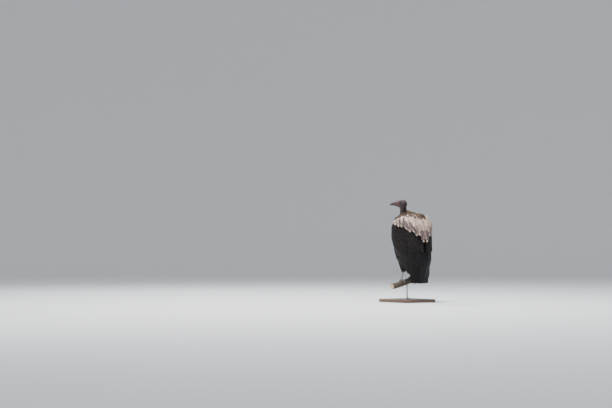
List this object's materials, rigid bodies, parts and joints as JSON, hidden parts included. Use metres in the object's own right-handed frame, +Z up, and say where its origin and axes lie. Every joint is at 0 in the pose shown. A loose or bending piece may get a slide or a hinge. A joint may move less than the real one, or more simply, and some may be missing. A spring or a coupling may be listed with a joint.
{
  "type": "hooded vulture on a perch",
  "caption": "Life-size still model of a hooded vulture, upright on a cut branch with folded wings and its head turned left, on a flat display stand.",
  "frame": {"origin": "centre of the stand base's underside, on the floor", "axes": "+Z up; the bird's breast faces -Y and its tail +Y, so its left side is +X"},
  "size_m": [0.3057, 0.3611, 0.7346],
  "materials": {
    "dark_plumage": "matte blackish-brown vaned feathers with faint paler edges",
    "back_plumage": "matte sun-bleached buff-brown feathers with pale fringes",
    "bare_skin": "bare wrinkled skin, dull mauve-red with a slate band at the eye",
    "leg_skin": "scaly pale grey skin",
    "dark_horn": "satin blackish horn",
    "eye_gloss": "wet dark brown eye",
    "bark": "rough grey-brown bark with pale sawn ends",
    "stand_wood": "dark stained and satin varnished wood",
    "stand_steel": "brushed steel"
  },
  "bodies": {
    "root": {"bill_lower": "dark_horn", "bill_upper": "dark_horn", "cere": "bare_skin", "claw_left_hind": "dark_horn", "claw_left_inner": "dark_horn", "claw_left_middle": "dark_horn", "claw_left_outer": "dark_horn", "claw_right_hind": "dark_horn", "claw_right_inner": "dark_horn", "claw_right_middle": "dark_horn", "claw_right_outer": "dark_horn", "eye_left": "eye_gloss", "eye_right": "eye_gloss", "foot_left": "leg_skin", "foot_right": "leg_skin", "head": "bare_skin", "neck": "bare_skin", "perch_branch": "bark", "ruff": "back_plumage", "scapulars_left": "back_plumage", "scapulars_right": "back_plumage", "shank_left": "leg_skin", "shank_right": "leg_skin", "stand_base": "stand_wood", "stand_collar": "stand_steel", "stand_rod": "stand_steel", "tail": "dark_plumage", "thigh_left": "dark_plumage", "thigh_right": "dark_plumage", "trunk": "dark_plumage", "wing_coverts_left": "dark_plumage", "wing_coverts_right": "dark_plumage", "wing_primaries_left": "dark_plumage", "wing_primaries_right": "dark_plumage", "wing_secondaries_left": "dark_plumage", "wing_secondaries_right": "dark_plumage"}
  },
  "joints": []
}
